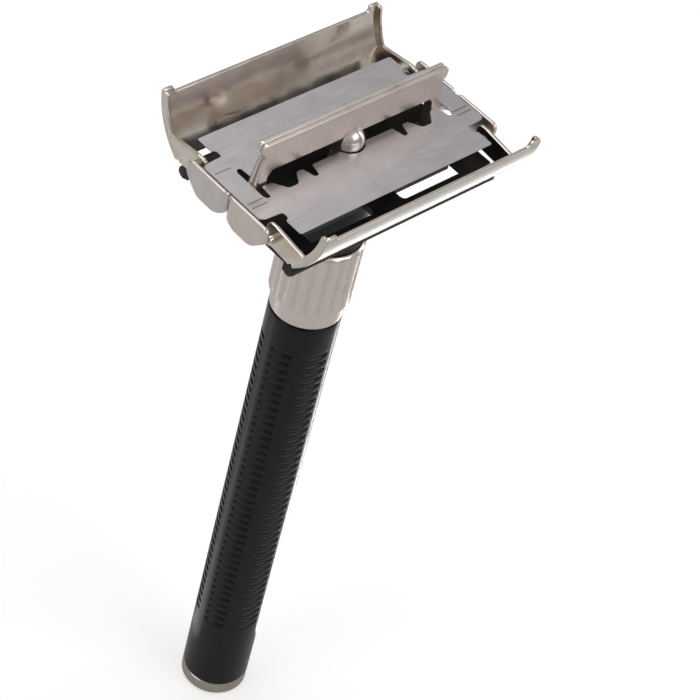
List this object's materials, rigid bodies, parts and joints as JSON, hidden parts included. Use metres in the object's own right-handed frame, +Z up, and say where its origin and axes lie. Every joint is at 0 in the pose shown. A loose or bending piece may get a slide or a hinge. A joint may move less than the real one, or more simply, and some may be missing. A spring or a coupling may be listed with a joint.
{
  "type": "double-edge safety razor",
  "caption": "Twist-to-open double-edge safety razor with two hinged doors, a black ribbed handle, a fluted metal collar and a flat blade lying in the open head.",
  "frame": {"origin": "centre of the end cap's underside, on the handle's axis", "axes": "+Z up the handle towards the head, +X along the blade, +Y towards the rear door"},
  "size_m": [0.0444, 0.035, 0.1305],
  "materials": {
    "black_plastic": "moulded, satin",
    "black_grip": "moulded, semi-gloss",
    "satin_nickel": "satin nickel plate",
    "door_steel": "satin outside, bright inside",
    "carrier_steel": "satin, pressed sheet",
    "bright_nickel": "polished",
    "blade_steel": "rolled strip, ground edges",
    "machined_steel": "turned",
    "spring_steel": "dark, oiled",
    "brass": "turned"
  },
  "bodies": {
    "head": {"guard_base": "black_plastic", "collar": "satin_nickel", "guide_bush": "brass", "wave_washer": "spring_steel", "retaining_ring": "spring_steel"},
    "handle": {"grip": "black_grip", "core_tube": "machined_steel", "drive_nut": "brass", "end_cap": "satin_nickel"},
    "carrier": {"lift_rod": "machined_steel", "stop_clip": "spring_steel", "rod_hub": "bright_nickel", "hub_pin": "machined_steel", "front_carrier_plate": "carrier_steel", "rear_carrier_plate": "carrier_steel", "front_hinge_pins": "bright_nickel", "rear_hinge_pins": "bright_nickel"},
    "blade_body": {"blade": "blade_steel"},
    "front_door_body": {"front_door": "door_steel"},
    "rear_door_body": {"rear_door": "door_steel"}
  },
  "joints": [
    {"name": "twist", "type": "hinge", "parent": "head", "child": "handle", "pos_m": [0, 0, 0.091], "axis": [0, 0, 1], "range_deg": [0, 540]},
    {"name": "carrier_lift", "type": "slide", "parent": "head", "child": "carrier", "axis": [0, 0, -1], "range_m": [0, 0.00555]},
    {"name": "blade_drop", "type": "slide", "parent": "head", "child": "blade_body", "axis": [0, 0, -1], "range_m": [0, 0.00375]},
    {"name": "front_door_hinge", "type": "hinge", "parent": "carrier", "child": "front_door_body", "pos_m": [0, -0.00835, 0.12155], "axis": [-1, 0, 0], "range_deg": [0, 97.5]},
    {"name": "rear_door_hinge", "type": "hinge", "parent": "carrier", "child": "rear_door_body", "pos_m": [0, 0.00835, 0.12155], "axis": [1, 0, 0], "range_deg": [0, 97.5]}
  ],
  "couplings": [
    {"joint": "twist", "follows": "carrier_lift", "rad_per_m": 1698.1},
    {"joint": "blade_drop", "follows": "carrier_lift", "ratio": 0.6756},
    {"joint": "front_door_hinge", "follows": "carrier_lift", "rad_per_m": 306.6},
    {"joint": "rear_door_hinge", "follows": "carrier_lift", "rad_per_m": 306.6}
  ]
}
